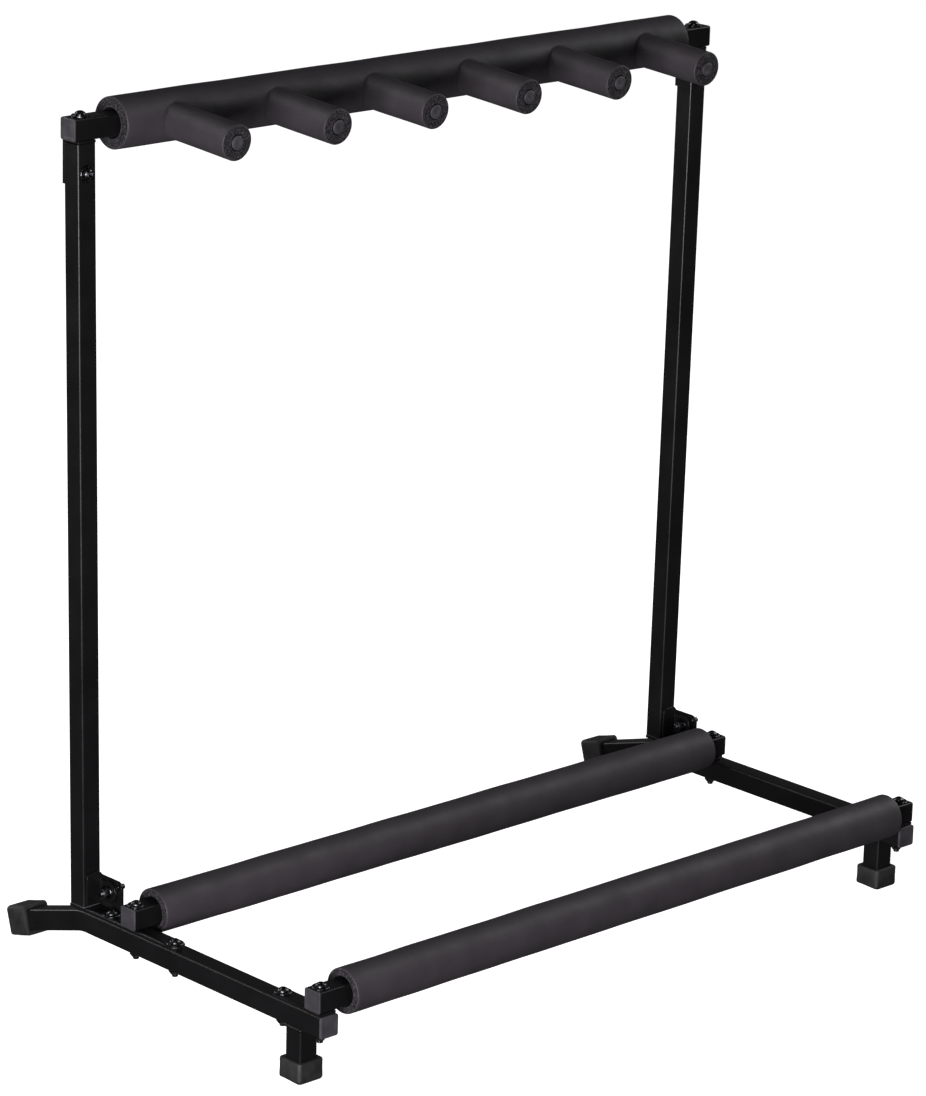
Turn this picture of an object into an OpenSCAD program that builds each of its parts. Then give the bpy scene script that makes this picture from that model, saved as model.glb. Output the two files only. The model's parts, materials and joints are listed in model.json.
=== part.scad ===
// Guitar rack for five instruments: two side frames of square tube, a padded top rail
// with six padded pegs, and two padded bottom rails. The uprights, the top rail and the
// pegs fold forward as one, on a hinge at the foot of each upright.
//
// X runs along the rails, the front is -Y and +Z is up. The origin is on the floor, in
// the middle of the rack's outline. Most shapes are written in the base's own frame,
// where the level stretch of the legs has its top at z = 0 and the uprights' front
// faces are at y = 0; base_frame() then tips and lifts them onto the floor.

/* [Frame] */
// Width over the two side frames
rack_w = 765; // [600:1:900]
// Height of the top rail's underside over the legs
rail_rise = 712; // [500:1:800]
// Reach of the leg tubes ahead of the uprights
leg_reach = 324; // [250:1:340]
// Side of the square tube
tube = 20; // [20:1:20]
// Wall of the square tube
wall = 1.2; // [1:0.1:1.5]
// Rise of the legs towards the front, in degrees
base_tilt = 2.4; // [2.2:0.1:2.6]
// How far each upright's top leans out past its foot
top_spread = 8; // [0:0.5:8]
// Reach of the top rail past each upright's outer face
top_over = 3.5; // [0:0.5:5]

/* [Legs] */
// Slope of the legs' rear stretch, in degrees
heel_slope = 16.7; // [16.5:0.1:17]
// Length of the rear stretch with its foot
heel_len = 106; // [105:0.5:107]
// Depth of the front feet's soles below the legs' top
foot_drop = 68; // [67:0.5:69]
// Side of a rubber foot
foot_side = 29; // [28:0.5:30]
// Height of a front foot
foot_h = 18.5; // [16:0.5:24]

/* [Padding] */
// Diameter of the top rail's foam
top_foam_d = 47; // [42:0.5:50]
// Diameter of the bottom rails' foam
low_foam_d = 41.5; // [38:0.5:46]
// Bore of the rails' foam
foam_bore = 28.4; // [28:0.1:29]

/* [Pegs] */
// Distance between two pegs
peg_pitch = 116.5; // [80:0.5:120]
// Reach of the pegs from the middle of the top rail
peg_reach = 105; // [90:1:110]
// Droop of the pegs towards their tips, in degrees
peg_droop = 4; // [0:0.5:5]
// Diameter of the peg's steel tube
peg_d = 13; // [12:0.5:13]
// Diameter of the peg's foam
peg_foam_d = 33; // [26:0.5:34]

/* [Hinge] */
// Thickness of the hinge plates and brackets
plate = 2.5; // [2:0.5:2.5]
// Distance of the pivot ahead of the upright
pivot_fwd = 13.5; // [13:0.5:14]
// Height of the pivot over the leg
pivot_up = 19; // [19:0.5:20]

/* [Hidden] */

$fn = 64;
cut = 1;                 // how far a cutter runs past the face that it cuts
far = 2000;              // longer than anything on the rack
corner = 2;              // outer corner radius of the square tube
plug_rim = 1.5;          // thickness of a plastic plug's rim
plug_in = 5;             // how deep a plug goes into its tube, clear of the bolts
leg_plug_rim = 2.5;      // the legs' front plugs have a thicker rim
air = 0.3;               // gap between parts that move past each other
half = tube / 2;

// M6 fasteners
bolt_r = 3;
bolt_hole_r = 3.2;
head_r = 5.25;
head_h = 3.3;
washer_r = 8;
washer_t = 1.5;
nut_af = 10;
nut_h = 4;
nut_collar_h = 2;
bolt_past_nut = 2.5;     // thread that shows past the nut

// Places along Y in the base's frame: the middles of rails, posts and bolts
front_rail_y = -(leg_reach - half);
rear_rail_y = -63;
post_y = front_rail_y + 24;
hinge_screw_y = -28;
rear_tie_y = rear_rail_y - 55;
front_tie_y = front_rail_y + 49;
bend_y = 7;              // where the top faces of a leg's two stretches meet

// Heights in the base's frame
low_rail_z = plate;                    // underside of the bottom rails
rail_mid_z = rail_rise + half;         // middle of the top rail
flange_z = rail_rise - plate;          // top of the uprights
upright_z = plate + air + plug_rim;    // foot of the uprights
bracket_bolt_z = rail_rise - 29;       // bolts from the uprights into the top brackets

// The top rail's ends, and the middle of its foam and pegs
top_end = top_spread + top_over;
pegs_mid = rack_w / 2 + 2;

// The uprights lean out about their pivots, by this angle
lean = atan(top_spread / (rail_mid_z - pivot_up));

// Bare lengths of the rails, left and right
top_bare = [48, 43.5];
rear_bare = [29, 25];
front_bare = [35, 27];

// The floor: the front soles' middle is on it
floor_z = -post_y * sin(base_tilt) - foot_drop * cos(base_tilt);
// The outline's front is the front foam and its back is the rear feet
front_y = front_rail_y * cos(base_tilt) + (low_rail_z + half) * sin(base_tilt) - low_foam_d / 2;
foot_wall = (foot_side - tube) / 2;
heel_back_y = bend_y + heel_len * cos(heel_slope) + foot_wall * sin(heel_slope);
heel_back_z = -heel_len * sin(heel_slope) + foot_wall * cos(heel_slope);
back_y = heel_back_y * cos(base_tilt) + heel_back_z * sin(base_tilt);
// Sideways it ends at the top rail's ends, or at the left foot and at the head of the
// right pivot's bolt
ear_x = tube + air;
reach_left = max(top_spread + top_over, foot_wall);
reach_right = max(top_spread + top_over, air + plate + head_h);
mid_x = (rack_w + reach_right - reach_left) / 2;
mid_y = (front_y + back_y) / 2;

function peg_x(i) = pegs_mid + (i - 3.5) * peg_pitch;

// ---- frames ----

module base_frame() {
    translate([-mid_x, -mid_y, -floor_z])
        rotate([-base_tilt, 0, 0])
            children();
}

// The left side frame's parts, or the same ones moved to the right side
module side(right) {
    base_frame()
        translate([right ? rack_w - tube : 0, 0, 0])
            children();
}

// A side frame's parts that lean out with its upright
module leaning(right) {
    side(right)
        translate([half, 0, pivot_up])
            rotate([0, right ? lean : -lean, 0])
                translate([-half, 0, -pivot_up])
                    children();
}

// A side frame's parts at the upright's top, moved out to where it leans but kept level
module at_top(right) {
    out = (bracket_bolt_z - pivot_up) * tan(lean);
    side(right)
        translate([right ? out : -out, 0, 0])
            children();
}

// The rear stretch of a leg: x across, z along the slope from the meeting of the top
// faces, y = 0 at the leg's top face
module heel_frame() {
    translate([0, bend_y, 0])
        rotate([-90 - heel_slope, 0, 0])
            children();
}

// A peg's own frame: z runs from the middle of the top rail to the peg's tip
module peg_frame(i) {
    base_frame()
        translate([peg_x(i), half, rail_mid_z])
            rotate([90 + peg_droop, 0, 0])
                children();
}

module below_floor() {
    translate([-far / 2, -far / 2, -far])
        cube([far, far, far]);
}

// ---- stock shapes ----

// A square with round corners, from the origin
module round_square(side_len, r) {
    translate([r, 0])
        square([side_len - 2 * r, side_len]);
    translate([0, r])
        square([side_len, side_len - 2 * r]);
    for (x = [r, side_len - r], y = [r, side_len - r])
        translate([x, y])
            circle(r);
}

module tube_outline() {
    difference() {
        round_square(tube, corner);
        translate([wall, wall])
            round_square(tube - 2 * wall, corner - wall);
    }
}

// Square tube along +Z
module square_tube(l) {
    linear_extrude(l)
        tube_outline();
}

// Square tube along +X
module cross_tube(l) {
    translate([0, 0, tube])
        rotate([0, 90, 0])
            square_tube(l);
}

// Plug for the end of a square tube: its rim fills z from -rim to 0
module tube_plug(rim) {
    play = 0.2;
    inner = tube - 2 * (wall + play);
    translate([0, 0, -rim])
        linear_extrude(rim)
            round_square(tube, corner);
    translate([wall + play, wall + play, 0])
        linear_extrude(plug_in)
            round_square(inner, corner - wall);
}

// Button-head screw: the head sits on z = 0 and the shank goes down
module screw(l) {
    dome = 6.2;
    socket_af = 4;
    difference() {
        intersection() {
            translate([0, 0, head_h - dome])
                sphere(dome);
            cylinder(r = head_r, h = head_h);
        }
        translate([0, 0, head_h - 2])
            cylinder(d = socket_af / cos(30), h = 2 + cut, $fn = 6);
    }
    translate([0, 0, -l])
        cylinder(r = bolt_r, h = l);
}

// Washer on z = 0
module washer(r = washer_r, t = washer_t) {
    difference() {
        cylinder(r = r, h = t);
        translate([0, 0, -cut])
            cylinder(r = bolt_hole_r, h = t + 2 * cut);
    }
}

// Lock nut: its flat face is z = 0 and its collar points down
module lock_nut() {
    play = 0.05;
    difference() {
        union() {
            translate([0, 0, -nut_h])
                cylinder(d = nut_af / cos(30), h = nut_h, $fn = 6);
            translate([0, 0, -nut_h - nut_collar_h])
                cylinder(r = nut_af / 2 - 0.6, h = nut_collar_h);
        }
        translate([0, 0, -nut_h - nut_collar_h - cut])
            cylinder(r = bolt_r + play, h = nut_h + nut_collar_h + 2 * cut);
    }
}

module bolt_hole_z(x, y, from_z, to_z) {
    translate([x, y, from_z - cut])
        cylinder(r = bolt_hole_r, h = to_z - from_z + 2 * cut);
}

// Round bar along +X, for cutters and pins that lie across the rack
module bar_x(r, l) {
    rotate([0, 90, 0])
        cylinder(r = r, h = l);
}

// Plate with one round end: y from 0 back to y = -l, x from 0 to w
module tongue(w, l) {
    linear_extrude(plate) {
        translate([0, w / 2 - l])
            square([w, l - w / 2]);
        translate([w / 2, w / 2 - l])
            circle(w / 2);
    }
}

// ---- side frames ----

// Outline of a leg, or of its hollow when inset by the wall: the two stretches meet in
// a corner, where the rear one, drawn a hair thinner, starts inside the other
module leg_shape(inset, past_end) {
    hair = 0.05;
    at_corner = inset * tan(heel_slope / 2);
    translate([inset, -leg_reach - past_end, -inset])
        rotate([-90, 0, 0])
            linear_extrude(leg_reach + past_end + bend_y - at_corner)
                round_square(tube - 2 * inset, corner - inset);
    heel_frame()
        translate([inset + hair, inset + hair, -at_corner])
            linear_extrude(heel_len - foot_wall + at_corner + past_end)
                round_square(tube - 2 * (inset + hair), corner - inset);
}

module leg(right) {
    color("#1c1c1f")
        side(right)
            difference() {
                leg_shape(0, 0);
                leg_shape(wall, cut);
                bolt_hole_z(half, rear_rail_y, -tube, 0);
                bolt_hole_z(half, front_rail_y, -tube, 0);
                bolt_hole_z(half, hinge_screw_y, -wall - cut, 0);
                if (!right) {
                    bolt_hole_z(half, rear_tie_y, -tube, 0);
                    bolt_hole_z(half, front_tie_y, -tube, 0);
                }
            }
}

module foot_post(right) {
    color("#1c1c1f")
        side(right)
            translate([0, post_y - half, -foot_drop + 2 * foot_wall])
                square_tube(foot_drop - 2 * foot_wall - tube);
}

// Rubber foot under a front post, with a pocket for the tube
module front_foot(right) {
    color("#3a3a3c")
        difference() {
            side(right)
                difference() {
                    translate([-foot_wall, post_y - half - foot_wall, -foot_drop - cut])
                        linear_extrude(foot_h + cut)
                            round_square(foot_side, 4);
                    translate([0, post_y - half, -foot_drop + 2 * foot_wall])
                        linear_extrude(foot_h)
                            round_square(tube, corner);
                }
            below_floor();
        }
}

// Rubber foot on a leg's rear end, square to the slope, with its low edge on the floor
module rear_foot(right) {
    foot_len = 26;
    color("#3a3a3c")
        difference() {
            side(right)
                heel_frame()
                    difference() {
                        translate([-foot_wall, -foot_wall, heel_len - foot_len])
                            linear_extrude(foot_len)
                                round_square(foot_side, 4);
                        translate([0, 0, heel_len - foot_len - cut])
                            linear_extrude(foot_len - foot_wall + cut)
                                round_square(tube, corner);
                    }
            below_floor();
        }
}

module leg_plug(right) {
    color("#3a3a3c")
        side(right)
            translate([0, -leg_reach, 0])
                rotate([-90, 0, 0])
                    tube_plug(leg_plug_rim);
}

// ---- hinges ----

// Plate under the upright and the rear rail, with an ear up beside the upright. The
// left one runs on as a tie to its own bolt.
module hinge_bracket(right) {
    inset = 1;
    plate_w = tube - 2 * inset;
    back = 21;
    tail = right ? -rear_rail_y + half + 2 : -rear_tie_y + plate_w / 2;
    ear_front = 29.5;
    ear_back = 12;
    ear_h = 31;
    ear_round = 7;
    color("#1c1c1f")
        side(right)
            difference() {
                union() {
                    translate([inset, back, 0])
                        tongue(plate_w, back + tail);
                    translate([half, -ear_front, 0])
                        cube([ear_x + plate - half, ear_front + ear_back, plate]);
                    translate([ear_x, 0, 0])
                        rotate([90, 0, 90])
                            linear_extrude(plate) {
                                translate([-ear_front, 0])
                                    square([ear_front + ear_back, ear_h - ear_round]);
                                translate([-ear_front + ear_round, 0])
                                    square([ear_front + ear_back - ear_round, ear_h]);
                                translate([-ear_front + ear_round, ear_h - ear_round])
                                    circle(ear_round);
                            }
                }
                bolt_hole_z(half, hinge_screw_y, 0, plate);
                bolt_hole_z(half, rear_rail_y, 0, plate);
                if (!right)
                    bolt_hole_z(half, rear_tie_y, 0, plate);
                translate([ear_x - cut, -pivot_fwd, pivot_up])
                    bar_x(bolt_r + 0.1, plate + 2 * cut);
                translate([ear_x - cut, stop_y, stop_z])
                    bar_x(stop_r + 0.05, plate + 2 * cut);
            }
}

// The stop pin, which the leaf's top edge meets when the rack is folded down
stop_r = 2.5;
leaf_top = pivot_up + 9.4;
stop_y = -pivot_fwd - (leaf_top - pivot_up) - air - stop_r;
stop_z = pivot_up + 7.5;

module fold_stop_pins() {
    inside = 2.4;
    outside = 3.1;
    color("#8a8a8c")
        for (right = [false, true])
            side(right)
                translate([ear_x - inside, stop_y, stop_z])
                    bar_x(stop_r, inside + plate + outside);
}

// Angle welded to the upright's front face, with a lug on the pivot
module hinge_leaf(right) {
    lug_r = 10.5;
    foot = 6.5;
    top = 36;
    side_gap = 2;
    color("#1c1c1f")
        side(right)
            difference() {
                union() {
                    translate([side_gap, 0, 0])
                        rotate([90, 0, 0])
                            linear_extrude(plate)
                                translate([0, foot])
                                    round_top(tube - side_gap, top - foot, 5);
                    translate([ear_x - air - plate, 0, 0])
                        rotate([90, 0, 90])
                            linear_extrude(plate) {
                                translate([-pivot_fwd, pivot_up])
                                    circle(lug_r);
                                translate([-pivot_fwd, pivot_up - lug_r])
                                    square([pivot_fwd, leaf_top - pivot_up + lug_r]);
                            }
                }
                translate([ear_x - air - plate - cut, -pivot_fwd, pivot_up])
                    bar_x(bolt_r + 0.08, plate + 2 * cut);
            }
}

// A rectangle whose two top corners are round
module round_top(w, h, r) {
    square([w, h - r]);
    translate([r, 0])
        square([w - 2 * r, h]);
    for (x = [r, w - r])
        translate([x, h - r])
            circle(r);
}

// The pivot's bolt comes in from outside the ear: its head, then ear, leaf, washer, nut
pivot_washer_t = 1.2;
pivot_nut_x = ear_x - 2 * air - plate - pivot_washer_t;

module pivot_at() {
    for (right = [false, true])
        side(right)
            translate([0, -pivot_fwd, pivot_up])
                children();
}

module pivot_bolts() {
    color("#8a8a8c")
        pivot_at()
            translate([ear_x + plate, 0, 0])
                rotate([0, 90, 0])
                    screw(plate + ear_x - pivot_nut_x + nut_h + nut_collar_h + bolt_past_nut);
}

module pivot_washers() {
    color("#8a8a8c")
        pivot_at()
            translate([pivot_nut_x, 0, 0])
                rotate([0, 90, 0])
                    washer(6, pivot_washer_t);
}

module pivot_nuts() {
    color("#8a8a8c")
        pivot_at()
            translate([pivot_nut_x, 0, 0])
                rotate([0, 90, 0])
                    lock_nut();
}

// ---- bottom rails ----

module low_rail(y) {
    color("#1c1c1f")
        base_frame()
            difference() {
                translate([plug_rim, y - half, low_rail_z])
                    cross_tube(rack_w - 2 * plug_rim);
                for (x = [half, rack_w - half])
                    bolt_hole_z(x, y, low_rail_z, low_rail_z + tube);
            }
}

// Plugs in both ends of a rail whose middle is at y, whose underside is at z and whose
// ends reach past the side frames by over
module rail_plugs(y, z, over = 0) {
    color("#3a3a3c")
        base_frame() {
            translate([plug_rim - over, y - half, z + tube])
                rotate([0, 90, 0])
                    tube_plug(plug_rim);
            translate([rack_w + over - plug_rim, y - half, z])
                rotate([0, -90, 0])
                    tube_plug(plug_rim);
        }
}

// Foam sleeve on a bottom rail, between the bare ends
module low_foam(y, bare) {
    len = rack_w - bare[0] - bare[1];
    color("#3b383d")
        base_frame()
            translate([bare[0], y, low_rail_z + half])
                difference() {
                    bar_x(low_foam_d / 2, len);
                    translate([-cut, 0, 0])
                        bar_x(foam_bore / 2, len + 2 * cut);
                }
}

// Strip under the front rail's left end that runs back to its own bolt
module front_tie_plate() {
    inset = 1;
    w = tube - 2 * inset;
    color("#1c1c1f")
        base_frame()
            difference() {
                translate([inset, front_rail_y - half, plate])
                    rotate([180, 0, 0])
                        tongue(w, half + front_tie_y - front_rail_y + w / 2);
                bolt_hole_z(half, front_rail_y, 0, plate);
                bolt_hole_z(half, front_tie_y, 0, plate);
            }
}

module front_spacer() {
    inset = 1;
    color("#1c1c1f")
        side(true)
            difference() {
                translate([inset, front_rail_y - half, 0])
                    cube([tube - 2 * inset, tube, plate]);
                bolt_hole_z(half, front_rail_y, 0, plate);
            }
}

// ---- base fasteners ----

// x, y and height of the surface that each bolt's washer sits on
rail_bolt_z = low_rail_z + tube;
rail_bolt_places = [
    [half, rear_rail_y, rail_bolt_z],
    [rack_w - half, rear_rail_y, rail_bolt_z],
    [half, front_rail_y, rail_bolt_z],
    [rack_w - half, front_rail_y, rail_bolt_z]
];
tie_bolt_places = [[half, rear_tie_y, plate], [half, front_tie_y, plate]];
screw_places = [[half, hinge_screw_y, plate], [rack_w - half, hinge_screw_y, plate]];

module at_each(places) {
    for (p = places)
        translate(p)
            children();
}

module through_bolts(places, grip) {
    color("#8a8a8c")
        base_frame()
            at_each(places)
                translate([0, 0, washer_t])
                    screw(washer_t + grip + nut_h + nut_collar_h + bolt_past_nut);
}

module rail_bolts() {
    through_bolts(rail_bolt_places, rail_bolt_z + tube);
}

module tie_bolts() {
    through_bolts(tie_bolt_places, plate + tube);
}

module base_washers() {
    color("#8a8a8c")
        base_frame()
            at_each(concat(rail_bolt_places, tie_bolt_places, screw_places))
                washer();
}

module base_nuts() {
    color("#8a8a8c")
        base_frame()
            for (p = concat(rail_bolt_places, tie_bolt_places))
                translate([p[0], p[1], -tube])
                    lock_nut();
}

// Short screws that hold the front of the hinge plates to the legs' top walls
module hinge_screws() {
    color("#8a8a8c")
        base_frame()
            at_each(screw_places)
                translate([0, 0, washer_t])
                    screw(12);
}

// ---- upper frame ----

module upright(right) {
    color("#1c1c1f")
        leaning(right)
            difference() {
                translate([0, 0, upright_z])
                    square_tube(flange_z - air - upright_z);
                translate([half, -cut, bracket_bolt_z])
                    rotate([-90, 0, 0])
                        cylinder(r = bolt_hole_r, h = tube + 2 * cut);
            }
}

module upright_plug(right) {
    color("#3a3a3c")
        leaning(right)
            translate([0, 0, upright_z])
                tube_plug(plug_rim);
}

// Angle between the upright's rear face and the top rail's underside
module top_bracket(right) {
    inset = 0.5;
    w = tube - 2 * inset;
    drop = 40;
    color("#1c1c1f")
        at_top(right)
            difference() {
                union() {
                    translate([inset, 0, flange_z])
                        cube([w, tube + plate, plate]);
                    translate([inset, tube, rail_rise - drop])
                        cube([w, plate, drop]);
                }
                bolt_hole_z(half, half, flange_z, rail_rise);
                translate([half, tube - cut, bracket_bolt_z])
                    rotate([-90, 0, 0])
                        cylinder(r = bolt_hole_r, h = plate + 2 * cut);
            }
}

top_bolt_x = half - (bracket_bolt_z - pivot_up) * tan(lean);

module top_rail() {
    color("#1c1c1f")
        base_frame()
            difference() {
                translate([plug_rim - top_end, 0, rail_rise])
                    cross_tube(rack_w + 2 * top_end - 2 * plug_rim);
                for (x = [top_bolt_x, rack_w - top_bolt_x])
                    bolt_hole_z(x, half, rail_rise, rail_rise + tube);
            }
}

module top_foam() {
    len = rack_w + 2 * top_end - top_bare[0] - top_bare[1];
    color("#3b383d")
        difference() {
            base_frame()
                translate([top_bare[0] - top_end, half, rail_mid_z])
                    difference() {
                        bar_x(top_foam_d / 2, len);
                        translate([-cut, 0, 0])
                            bar_x(foam_bore / 2, len + 2 * cut);
                    }
            for (i = [1:6])
                peg_frame(i)
                    cylinder(r = peg_d / 2 + air, h = peg_reach);
        }
}

// Where the upper frame's bolts go: down through the rail, and back through the upright
module upper_bolt_at(side_of_upright) {
    for (right = [false, true])
        at_top(right)
            if (side_of_upright)
                translate([half, 0, bracket_bolt_z])
                    rotate([90, 0, 0])
                        children();
            else
                translate([half, half, rail_rise + tube])
                    children();
}

module upper_bolts() {
    color("#8a8a8c")
        for (front = [false, true])
            upper_bolt_at(front)
                translate([0, 0, washer_t])
                    screw(washer_t + tube + plate + nut_h + nut_collar_h + bolt_past_nut);
}

module upper_washers() {
    color("#8a8a8c")
        for (front = [false, true])
            upper_bolt_at(front)
                washer();
}

module upper_nuts() {
    color("#8a8a8c")
        for (front = [false, true])
            upper_bolt_at(front)
                translate([0, 0, -tube - plate])
                    lock_nut();
}

// ---- pegs ----

peg_plug_rim = 1.5;
peg_plug_in = 12;
peg_tube_end = peg_reach - peg_plug_rim;

// Steel tube welded to the rail's front face
module peg_tube(i) {
    color("#1c1c1f")
        difference() {
            peg_frame(i)
                difference() {
                    cylinder(r = peg_d / 2, h = peg_tube_end);
                    translate([0, 0, -cut])
                        cylinder(r = peg_d / 2 - wall, h = peg_tube_end + 2 * cut);
                }
            base_frame()
                translate([peg_x(i) - tube, 0, rail_rise - tube])
                    cube([2 * tube, tube, 3 * tube]);
        }
}

// Foam sleeve on a peg, from the rail's foam to the peg's tip
module peg_foam(i) {
    color("#3b383d")
        difference() {
            peg_frame(i)
                difference() {
                    cylinder(d = peg_foam_d, h = peg_tube_end);
                    translate([0, 0, -cut])
                        cylinder(r = peg_d / 2 + 0.2, h = peg_tube_end + 2 * cut);
                }
            base_frame()
                translate([peg_x(i) - peg_pitch / 2, half, rail_mid_z])
                    bar_x(top_foam_d / 2 + 0.2, peg_pitch);
        }
}

module peg_plugs() {
    play = 0.2;
    color("#5a5a5c")
        for (i = [1:6])
            peg_frame(i)
                translate([0, 0, peg_tube_end]) {
                    translate([0, 0, -peg_plug_in])
                        cylinder(r = peg_d / 2 - wall - play, h = peg_plug_in + peg_plug_rim / 2);
                    cylinder(r = peg_d / 2 + play, h = peg_plug_rim);
                }
}

leg(false);  // left_leg
leg(true);  // right_leg
foot_post(false);  // left_foot_post
foot_post(true);  // right_foot_post
front_foot(false);  // left_front_foot
front_foot(true);  // right_front_foot
rear_foot(false);  // left_rear_foot
rear_foot(true);  // right_rear_foot
leg_plug(false);  // left_leg_plug
leg_plug(true);  // right_leg_plug
hinge_bracket(false);  // left_hinge_bracket
hinge_bracket(true);  // right_hinge_bracket
front_tie_plate();
front_spacer();
low_rail(rear_rail_y);  // rear_rail
low_rail(front_rail_y);  // front_rail
rail_plugs(rear_rail_y, low_rail_z);  // rear_rail_plugs
rail_plugs(front_rail_y, low_rail_z);  // front_rail_plugs
low_foam(rear_rail_y, rear_bare);  // rear_foam
low_foam(front_rail_y, front_bare);  // front_foam
rail_bolts();
tie_bolts();
base_washers();
base_nuts();
hinge_screws();
fold_stop_pins();
pivot_bolts();
pivot_washers();
pivot_nuts();
upright(false);  // left_upright
upright(true);  // right_upright
upright_plug(false);  // left_upright_plug
upright_plug(true);  // right_upright_plug
hinge_leaf(false);  // left_hinge_leaf
hinge_leaf(true);  // right_hinge_leaf
top_bracket(false);  // left_top_bracket
top_bracket(true);  // right_top_bracket
top_rail();
rail_plugs(half, rail_rise, top_end);  // top_rail_plugs
top_foam();
upper_bolts();
upper_washers();
upper_nuts();
peg_tube(1);  // peg_tube_1
peg_tube(2);  // peg_tube_2
peg_tube(3);  // peg_tube_3
peg_tube(4);  // peg_tube_4
peg_tube(5);  // peg_tube_5
peg_tube(6);  // peg_tube_6
peg_foam(1);  // peg_foam_1
peg_foam(2);  // peg_foam_2
peg_foam(3);  // peg_foam_3
peg_foam(4);  // peg_foam_4
peg_foam(5);  // peg_foam_5
peg_foam(6);  // peg_foam_6
peg_plugs();
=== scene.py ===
# %% [markdown]
# # A folding guitar rack in foam and black steel
# The rack's steel parts come from its CAD model as a fixed frame. This lesson keeps the
# parts whose shape is already right, gives every surface its finish, and builds the soft
# and moulded pieces again with the detail that the CAD solids leave out.

# %% Load the frame
import json

import bmesh
import bpy
import numpy as np
from mathutils import Matrix, Vector


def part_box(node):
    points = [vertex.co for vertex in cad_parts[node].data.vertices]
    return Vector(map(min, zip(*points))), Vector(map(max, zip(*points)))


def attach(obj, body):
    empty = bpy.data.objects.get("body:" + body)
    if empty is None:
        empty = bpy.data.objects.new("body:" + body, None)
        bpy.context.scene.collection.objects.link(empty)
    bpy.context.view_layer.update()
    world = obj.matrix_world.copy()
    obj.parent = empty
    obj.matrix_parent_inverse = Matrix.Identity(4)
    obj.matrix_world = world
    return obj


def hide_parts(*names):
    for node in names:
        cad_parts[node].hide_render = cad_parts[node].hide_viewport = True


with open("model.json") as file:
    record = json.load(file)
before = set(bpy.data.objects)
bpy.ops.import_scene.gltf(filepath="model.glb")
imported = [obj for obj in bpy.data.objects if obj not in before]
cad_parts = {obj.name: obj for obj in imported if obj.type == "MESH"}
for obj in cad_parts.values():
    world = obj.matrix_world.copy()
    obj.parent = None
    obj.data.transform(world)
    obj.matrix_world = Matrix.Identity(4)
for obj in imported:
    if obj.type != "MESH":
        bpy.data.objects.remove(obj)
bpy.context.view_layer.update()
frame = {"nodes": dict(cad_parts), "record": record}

# %% [markdown]
# ## Where things are
# The side frames rest on the floor with their fronts a little high, so the rack was
# designed in a frame of its own: the legs' top face is at height 0, the uprights' front
# faces are at y = 0 and the left side frame starts at x = 0, all in millimetres. Most
# shapes below are worked out there, and one function carries them to the scene.

# %% Measures of the rack, in millimetres
RACK_W = 765
RAIL_RISE = 712
LEG_REACH = 324
TUBE = 20
HALF = TUBE / 2
WALL = 1.2
CORNER = 2
BASE_TILT = np.radians(2.4)
HEEL_SLOPE = np.radians(16.7)
HEEL_LEN = 106
BEND_Y = 7
FOOT_DROP = 68
FOOT_SIDE = 29
FOOT_H = 18.5
FOOT_WALL = (FOOT_SIDE - TUBE) / 2
PLATE = 2.5
PLUG_RIM = 1.5
RAIL_MID_Z = RAIL_RISE + HALF
LOW_RAIL_Z = PLATE
FRONT_RAIL_Y = -(LEG_REACH - HALF)
REAR_RAIL_Y = -63
POST_Y = FRONT_RAIL_Y + 24
PIVOT = np.array([0, -13.5, 19])
TOP_SPREAD = 8
TOP_END = TOP_SPREAD + 3.5
LEAN = np.arctan(TOP_SPREAD / (RAIL_MID_Z - PIVOT[2]))
BRACKET_BOLT_Z = RAIL_RISE - 29
OUT_AT_TOP = (BRACKET_BOLT_Z - PIVOT[2]) * np.tan(LEAN)
SIDES = (("left", 0), ("right", RACK_W - TUBE))
print(f"{RACK_W} mm wide at the legs, uprights lean {np.degrees(LEAN):.2f} degrees")


# %% From the rack's frame to the scene
def tipped(points):
    """Turns points about the X axis by the base's tilt, so that the front rises."""
    p = np.asarray(points, float)
    y = p[..., 1] * np.cos(BASE_TILT) + p[..., 2] * np.sin(BASE_TILT)
    z = p[..., 2] * np.cos(BASE_TILT) - p[..., 1] * np.sin(BASE_TILT)
    return np.stack([p[..., 0], y, z], axis=-1)


fold = frame["record"]["behaviour"]["joints"][0]
pivot_in_scene = np.array([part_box("left_leg")[0][0], *fold["pos_m"][1:]])
SHIFT = pivot_in_scene - tipped(PIVOT) / 1000


def to_scene(points):
    """Millimetres in the rack's frame to metres in the scene: tipped, then shifted."""
    return tipped(points) / 1000 + SHIFT


def lean_out(points, left_x):
    """Turns a side frame's points about its pivot, in X and Z, out and away from the
    rack's middle, as its upright leans."""
    angle = LEAN if left_x > 0 else -LEAN
    centre = np.array([left_x + HALF, 0, PIVOT[2]])
    p = points - centre
    x = p[..., 0] * np.cos(angle) + p[..., 2] * np.sin(angle)
    z = p[..., 2] * np.cos(angle) - p[..., 0] * np.sin(angle)
    return np.stack([x, p[..., 1], z], axis=-1) + centre


print("the rack's own origin is at", SHIFT.round(4))

# %% [markdown]
# ## Camera
# A long lens from the front left, well above the rack, keeps the uprights nearly
# parallel. A Track To constraint could aim it at an empty, but it can't roll. Here the
# camera's axes are worked out from three angles and its matrix is put together from them.

# %% The camera
CAMERA_AT = Vector((-2.8138, -2.8712, 1.7008))
CAMERA_AZIMUTH = np.radians(-44.02)
CAMERA_ELEVATION = np.radians(18.41)
CAMERA_ROLL = np.radians(-3.27)
CAMERA_LENS = 150.4


def camera_axes(azimuth, elevation, roll):
    """Right, up and back: back points from the scene to the camera, level is square to
    it and flat, and the roll turns the other two about it."""
    flat = np.cos(elevation)
    back = Vector((np.sin(azimuth) * flat, -np.cos(azimuth) * flat, np.sin(elevation)))
    level = Vector((0, 0, 1)).cross(back).normalized()
    rise = back.cross(level)
    right = level * np.cos(roll) - rise * np.sin(roll)
    return right, back.cross(right), back


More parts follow.
